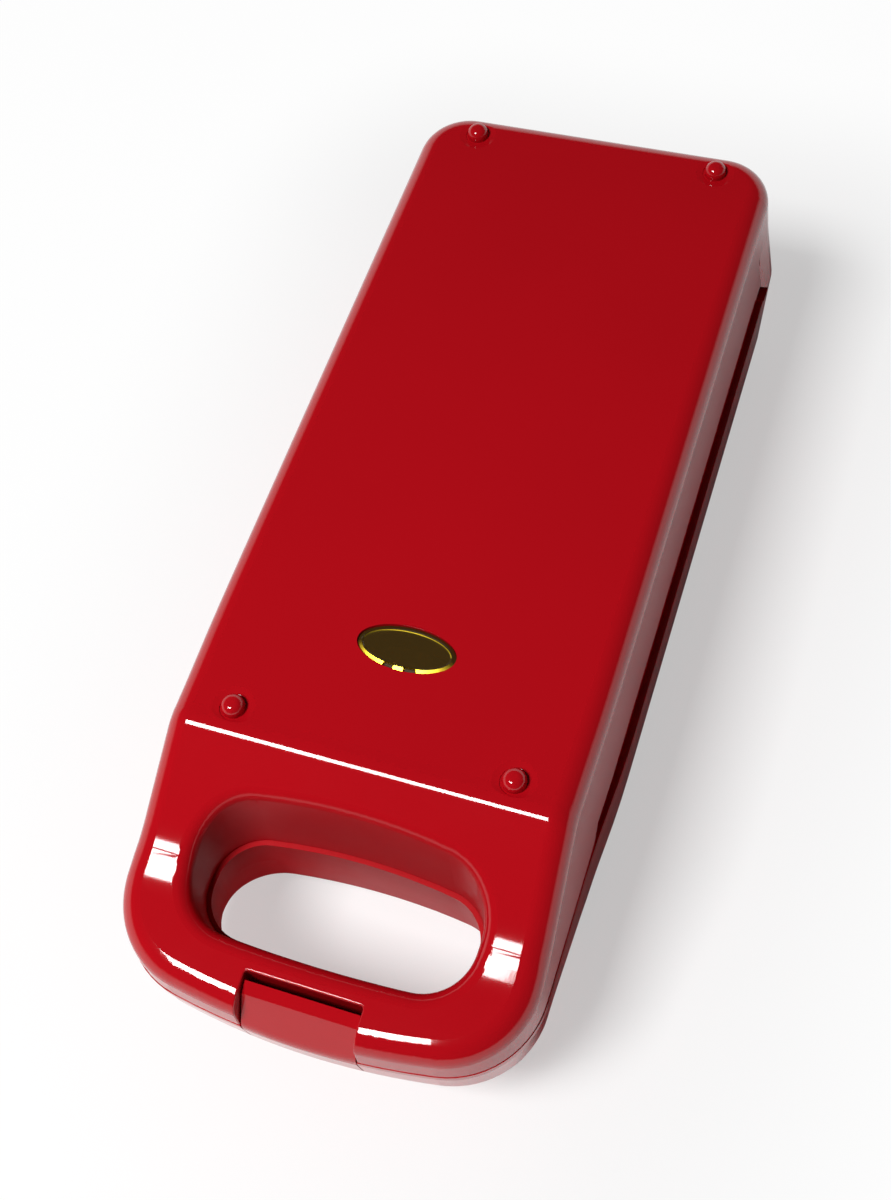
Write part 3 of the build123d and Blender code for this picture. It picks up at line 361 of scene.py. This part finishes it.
def soft_lid(source):
    """A copy of the lid's mesh with the softer folds."""
    mesh = source.data.copy()
    mesh.name = "lid_soft"
    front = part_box("base_shell")[0].y / MM
    exact = [None] * len(mesh.vertices)
    for loop, normal in zip(mesh.loops, mesh.corner_normals):
        exact[loop.vertex_index] = Vector(normal.vector)
    shape = bmesh.new()
    shape.from_mesh(mesh)
    keep = shape.verts.layers.float_vector.new("exact")
    shape.verts.ensure_lookup_table()
    for vertex, normal in zip(shape.verts, exact):
        vertex[keep] = normal
    for at in FOOT_CUTS + CREST_CUTS:
        bmesh.ops.bisect_plane(
            shape, geom=shape.verts[:] + shape.edges[:] + shape.faces[:], dist=SAME_PLACE,
            plane_co=(0, (front + at) * MM, 0), plane_no=(0, 1, 0))
    normals = []
    for vertex in shape.verts:
        at = vertex.co.y / MM - front
        height = vertex.co.z / MM - PARTING
        old, old_steep = plain_top(at)
        new, new_steep = soft_top(at)
        reach = old - (STILL_BELOW + FULL_ABOVE)
        share = min(1.0, max(0.0, (height - STILL_BELOW) / reach))
        vertex.co.z += (new - old) * share * MM
        n = vertex[keep]
        tilted = Vector((n.x, n.y - (new_steep - old_steep) * share * n.z, n.z))
        normals.append(tilted.normalized())
    shape.to_mesh(mesh)
    shape.free()
    mesh.normals_split_custom_set_from_vertices(normals)
    print(len(mesh.polygons), "faces in the softened lid")
    return mesh


# %% Swap the lid
lid = bpy.data.objects.new("lid_soft", soft_lid(nodes["lid_shell"]))
bpy.context.scene.collection.objects.link(lid)
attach(lid, "lid")
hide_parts("lid_shell")

# %% [markdown]
# ## The darker inside pieces
# The trim frames around the plates are a satin, darker plastic; feet and bushing are rubber.

# %% Satin plastics and rubber
def satin(name, dark, pale, rough, grain=1200.0, depth=0.00003):
    """A dull finish with a fine grain, whose depth is in metres."""
    finish = Finish(name)
    fine = noise(finish, grain, 3.0)
    cloud = noise(finish, 25.0, 2.0)
    shader = finish.node("BsdfPrincipled", None, {
        "Base Color": blend(finish, cloud, dark, pale),
        "Roughness": fine * 0.15 + rough,
        "IOR": 1.5,
        "Normal": bump(finish, fine, depth),
    })
    return finish.surface(shader)


dress(["base_trim_frame", "lid_trim_frame"],
      satin("frame_plastic", colour(92, 10, 16), colour(80, 8, 14), 0.35))
dress(["base_feet", "cord_grommet"],
      satin("foot_rubber", colour(30, 30, 31), colour(40, 39, 38), 0.7))
dress(["terminal_block"],
      satin("pale_plastic", colour(222, 220, 210), colour(212, 209, 198), 0.4))
dress(["thermal_fuse"],
      satin("fuse_sleeve", colour(225, 216, 196), colour(205, 196, 176), 0.8, 2500.0, 0.0002))
dress(["lamp_holder"],
      satin("holder_plastic", colour(30, 19, 15), colour(22, 14, 12), 0.4))

# %% [markdown]
# ## Metals
# Steel and aluminium differ here by colour, by roughness and by the direction of their grain.

# %% Metals
METAL_GRAIN = 900.0
METAL_DEPTH = 0.00002           # of the grain, in metres


def metal(name, dark, pale, rough, stretch=(1.0, 1.0, 1.0)):
    """A metal with a grain, drawn out along an axis where its stretch is small."""
    finish = Finish(name)
    lines = noise(finish, METAL_GRAIN, 3.0, stretch=stretch)
    cloud = noise(finish, 60.0, 2.0)
    shader = finish.node("BsdfPrincipled", None, {
        "Base Color": blend(finish, cloud * 0.6 + lines * 0.4, dark, pale),
        "Metallic": 1.0,
        "Roughness": lines * 0.18 + rough,
        "Normal": bump(finish, lines, METAL_DEPTH),
    })
    return finish.surface(shader)


dress(["lower_heating_element", "upper_heating_element"],
      metal("element_sheath", colour(96, 88, 82), colour(130, 112, 96), 0.42))
dress(["lower_element_straps", "upper_element_straps"],
      metal("strap_steel", colour(170, 170, 172), colour(196, 196, 197), 0.3, (1.0, 12.0, 12.0)))
dress(["base_frame_screws", "lid_frame_screws", "lower_strap_screws", "upper_strap_screws"],
      metal("screw_steel", colour(168, 168, 170), colour(198, 198, 200), 0.25))
dress(["hinge_pins", "latch_pin"],
      metal("pin_steel", colour(176, 176, 178), colour(204, 204, 206), 0.22, (1.0, 20.0, 20.0)))
dress(["latch_spring"],
      metal("spring_steel", colour(150, 150, 152), colour(186, 186, 188), 0.28))
dress(["lower_heat_shield", "upper_heat_shield"],
      metal("shield_sheet", colour(186, 187, 189), colour(214, 214, 215), 0.3, (20.0, 1.0, 20.0)))
dress(["thermostat"],
      metal("thermostat_can", colour(190, 190, 190), colour(214, 213, 210), 0.3))

# %% [markdown]
# ## The grill plates
# Cast plates with a dark non-stick coating: nearly black, with a fine pale speckle.

# %% Coated plates
FLAKES_FROM = 0.62              # noise above which a flake starts to show
FLAKES_FULL = 0.70


def plate_coating():
    """A nearly black coating with pale flakes and a fine orange peel."""
    finish = Finish("plate_coating")
    speck = noise(finish, 1500.0, 4.0)
    flakes = finish.node("ValToRGB", {"stops": [
        (FLAKES_FROM, (0, 0, 0, 1)), (FLAKES_FULL, (1, 1, 1, 1)),
    ]}, {"Fac": speck})
    orange_peel = noise(finish, 700.0, 2.0)
    shader = finish.node("BsdfPrincipled", None, {
        "Base Color": blend(finish, flakes, colour(38, 38, 40), colour(82, 82, 84)),
        "Roughness": orange_peel * 0.2 + 0.35,
        "Normal": bump(finish, orange_peel, 0.00003),
    })
    return finish.surface(shader)


dress(["lower_grill_plate", "upper_grill_plate"], plate_coating())

# %% [markdown]
# ## Lens and lamps
# The oval lens is dark amber plastic over two small lamps in a cup. Its edge is bevelled
# and notched twice at the front, and that part of the edge shows bright gold where it catches the
# light; here the gold is a painted highlight, a metallic gold colour on the bevel.
# CAD keeps a plain oval block, so the lens is built again here: a list of
# (inset, depth) pairs is its cross-section, and each pair becomes one oval ring.

# %% The lens as oval rings
LENS_FLANGE = 2.0               # from the lens opening to the flange's edge, in millimetres
LENS_SECTION = (                # inset from the opening, depth below the deck, in millimetres
    (0.0, 7.0), (0.0, 1.1), (0.08, 0.98), (1.45, 0.42), (1.75, 0.42), (2.0, 0.62), (2.4, 0.7),
)
LENS_INSIDE = ((1.2, 2.0), (1.2, 7.0))
LENS_NOTCHES = ((-6.5, -2.7), (1.7, 5.8))   # where they lie across the front edge, in millimetres
LENS_BEVEL = (0.05, 2.0)        # insets between which the section is notched
LENS_RECESS = 0.4               # from the deck down to the top of the CAD lens
NOTCH_DROP = 1.0
NOTCH_FROM = 1.25 * MM          # below this depth the notched edge has no painted gold highlight
LENS_STEPS = 180


def lens_mesh(centre, half, deck):
    """Rings from the skirt up over the bevel to the window, closed below."""
    def notched(angle):
        across = math.cos(angle) * half.x / MM
        return math.sin(angle) < 0 and any(low < across < high for low, high in LENS_NOTCHES)

    def ring(shape, inset, depth, notches):
        made = []
        for step in range(LENS_STEPS):
            angle = math.tau * step / LENS_STEPS
            drop = NOTCH_DROP if notches and notched(angle) else 0.0
            made.append(shape.verts.new((
                centre.x + math.cos(angle) * (half.x - inset * MM),
                centre.y + math.sin(angle) * (half.y - inset * MM),
                deck - (depth + drop) * MM,
            )))
        return made

    shape = bmesh.new()
    rings = [
        ring(shape, inset, depth, LENS_BEVEL[0] < inset < LENS_BEVEL[1])
        for inset, depth in LENS_SECTION
    ]
    top = rings[-1]
    inner = [ring(shape, inset, depth, False) for inset, depth in LENS_INSIDE]
    for loops in (rings, inner, [inner[-1], rings[0]]):
        for first, second in zip(loops, loops[1:]):
            for i in range(LENS_STEPS):
                j = (i + 1) % LENS_STEPS
                shape.faces.new((first[i], first[j], second[j], second[i]))
    shape.faces.new(top)
    shape.faces.new(reversed(inner[0]))
    bmesh.ops.recalc_face_normals(shape, faces=shape.faces)
    mesh = bpy.data.meshes.new("lens_window")
    shape.to_mesh(mesh)
    shape.free()
    return mesh


# %% The lens's amber and the painted gold highlight on its edge
GLINT_SLOPES = (0.985, 0.955)    # upward part of the normal where the painted gold highlight starts and is full
GLINT_FACES = (-0.08, -0.22)     # and its backward part, which is less than nothing in front


def lens_amber():
    """Dark amber inside, with a painted highlight in metallic gold where the edge slopes to the
    front.
    """
    finish = Finish("lens_amber")
    cloud = noise(finish, 60.0, 2.0)
    facing = finish.node("TexCoord", output="Normal")
    level = finish.node("SeparateXYZ", None, {"Vector": facing}, output="Z")
    back = finish.node("SeparateXYZ", None, {"Vector": facing}, output="Y")
    above = finish.node("SeparateXYZ", None, {"Vector": place(finish)}, output="Z")
    sloping = finish.node("MapRange", None, {
        "Value": level,
        "From Min": GLINT_SLOPES[0],
        "From Max": GLINT_SLOPES[1],
        "To Min": 0.0,
        "To Max": 1.0,
    })
    front = finish.node("MapRange", None, {
        "Value": back,
        "From Min": GLINT_FACES[0],
        "From Max": GLINT_FACES[1],
        "To Min": 0.0,
        "To Max": 1.0,
    })
    high = above.math("GREATER_THAN", above, lens_deck - NOTCH_FROM)
    # painted highlight: the bevel that faces up and to the front is coloured metallic gold,
    # standing in for the light it catches
    painted_glint = sloping * front * high
    cut = sloping * front - painted_glint
    amber = blend(finish, cloud, colour(112, 84, 34), colour(98, 76, 34))
    shader = finish.node("BsdfPrincipled", None, {
        # the gold colour is the painted highlight; the amber is the lens's own colour
        "Base Color": blend(finish, painted_glint, amber, colour(246, 214, 62)),
        "Metallic": painted_glint,
        "Roughness": cloud * 0.04 + 0.03 + painted_glint * 0.3 + cut * 0.7,
        "Transmission Weight": 0.7,
        "IOR": 1.49,
    })
    return finish.surface(shader)


# %% Put the lens in its opening
lens_low, lens_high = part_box("indicator_lens")
lens_centre = (lens_low + lens_high) / 2
lens_half = (lens_high - lens_low) / 2 - Vector((LENS_FLANGE, LENS_FLANGE, 0)) * MM
lens_deck = lens_high.z + LENS_RECESS * MM
lens = bpy.data.objects.new("lens_window", lens_mesh(lens_centre, lens_half, lens_deck))
bpy.context.scene.collection.objects.link(lens)
for polygon in lens.data.polygons:
    polygon.use_smooth = False
lens.data.materials.append(lens_amber())
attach(lens, "lid")
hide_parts("indicator_lens")
print("the lens opening is", [round(2 * v / MM, 1) for v in lens_half[:2]], "mm")
print("and the lens has", len(lens.data.polygons), "faces")

# %% Lamps
def lamp_glass():
    """Clear bulbs with a little amber in them."""
    finish = Finish("lamp_glass")
    cloud = noise(finish, 60.0, 2.0)
    shader = finish.node("BsdfPrincipled", None, {
        "Base Color": blend(finish, cloud, colour(255, 200, 150), colour(250, 180, 130)),
        "Roughness": cloud * 0.04 + 0.05,
        "Transmission Weight": 0.9,
        "IOR": 1.5,
    })
    return finish.surface(shader)


dress(["pilot_lamps"], lamp_glass())

# %% [markdown]
# ## The studio
# Gloss shows the room it stands in, so a red gloss object needs a room, not only lamps.
# A product studio is pale low down, dark above, and has one large softbox in front and to
# the left: the deck, which faces up, mirrors the dark part and stays a full red, the side
# walls mirror the pale floor, and the softbox draws the bright lines along the creases.
# The picture's own background is white all round, so the camera alone sees white there.

# %% The floor
FLOOR_WHITE = (0.5, 0.95)       # share of plain white beside the object and away from it
FLOOR_REACH = (0.005, 0.15)     # metres from the object's box where that starts and is full
FLOOR_HALF = 4.0                # half of the floor's width, in metres
FLOOR_CELLS = 24
FLOOR_PAINT = ((0.9, 0.9, 0.9, 1), (0.92, 0.92, 0.92, 1))
WHITE = (1.0, 1.0, 1.0, 1)


def floor():
    """A pale floor: mostly lit paint near the object, where its shadow falls, white far away.

    The white is for what is seen, in the picture or in a mirror. The object's light comes
    from the paint alone.
    """
    mesh = bpy.data.meshes.new("floor")
    shape = bmesh.new()
    bmesh.ops.create_grid(shape, x_segments=FLOOR_CELLS, y_segments=FLOOR_CELLS, size=FLOOR_HALF)
    shape.to_mesh(mesh)
    shape.free()
    made = bpy.data.objects.new("floor", mesh)
    bpy.context.scene.collection.objects.link(made)
    finish = Finish("floor_paint")
    low, high = cad_box
    half = tuple((b - a) / 2 for a, b in zip(low, high))
    away = finish.node("VectorMath", {"operation": "ABSOLUTE"}, {0: place(finish)})
    away = finish.node("VectorMath", {"operation": "SUBTRACT"}, {0: away, 1: half})
    away = finish.node("VectorMath", {"operation": "MAXIMUM"}, {0: away, 1: (0, 0, 0)})
    away = finish.node("VectorMath", {"operation": "LENGTH"}, {0: away}, output="Value")
    seen_straight = finish.node("LightPath", output="Is Camera Ray")
    mirrored = finish.node("LightPath", output="Is Glossy Ray")
    through = finish.node("LightPath", output="Is Transmission Ray")
    seen_at_all = seen_straight + mirrored + through
    share = finish.node("MapRange", {"interpolation_type": "SMOOTHSTEP"}, {
        "Value": away,
        "From Min": FLOOR_REACH[0],
        "From Max": FLOOR_REACH[1],
        "To Min": seen_straight * FLOOR_WHITE[0],
        "To Max": seen_at_all.math("MINIMUM", seen_at_all, 1.0) * FLOOR_WHITE[1],
    })
    cloud = noise(finish, 3.0, 2.0)
    paint = finish.node("BsdfDiffuse", None, {
        "Color": blend(finish, cloud, *FLOOR_PAINT),
    })
    white = finish.node("Emission", None, {"Color": WHITE, "Strength": 1.0})
    mixed = finish.node("MixShader", None, {0: share, 1: paint, 2: white})
    made.data.materials.append(finish.surface(mixed))


floor()

# %% The walls and ceiling of the room
PALE_TO = 0.12                  # sine of the height up to which the walls are pale
DARK_FROM = 0.30                # and from which the room is dark
LEFT_HIGHER = 0.12              # the pale part reaches higher on the left by this
REAR_HIGHER = 0.22              # and at the back by this
WALLS = (0.9, 0.9, 0.9, 1)
CEILING = (0.03, 0.03, 0.03, 1)


def room():
    """The world: white walls low down, a dark ceiling, and a white backdrop where it is seen."""
    world = bpy.data.worlds.new("studio")
    net = Finish("studio", world)
    way = net.node("TexCoord", output="Generated")
    aside = net.node("SeparateXYZ", None, {"Vector": way}, output="X")
    back = net.node("SeparateXYZ", None, {"Vector": way}, output="Y")
    up = net.node("SeparateXYZ", None, {"Vector": way}, output="Z")
    paint = net.node("ValToRGB", {"stops": [
        (0.0, WHITE), (PALE_TO, WALLS), (DARK_FROM, CEILING),
    ]}, {"Fac": up + aside * LEFT_HIGHER - back * REAR_HIGHER})
    seen = net.node("LightPath", output="Is Camera Ray")
    backdrop = blend(net, seen, paint, WHITE)
    bpy.context.scene.world = net.surface(
        net.node("Background", None, {"Color": backdrop, "Strength": 1.0}), "OutputWorld")


room()

# %% Softbox
SOFTBOX_AT = Vector((-0.485, -0.765, 1.6))
SOFTBOX_SIZE = (0.63, 0.53)     # metres
SOFTBOX_POWER = 36.0            # watts


def softbox():
    """A soft lamp in front of the object and to its left, facing down."""
    data = bpy.data.lights.new("softbox", "AREA")
    data.shape = "RECTANGLE"
    data.size, data.size_y = SOFTBOX_SIZE
    data.energy = SOFTBOX_POWER
    lamp = bpy.data.objects.new("softbox", data)
    bpy.context.scene.collection.objects.link(lamp)
    lamp.location = SOFTBOX_AT


softbox()
print("the softbox hangs", SOFTBOX_AT.z, "m above the floor")
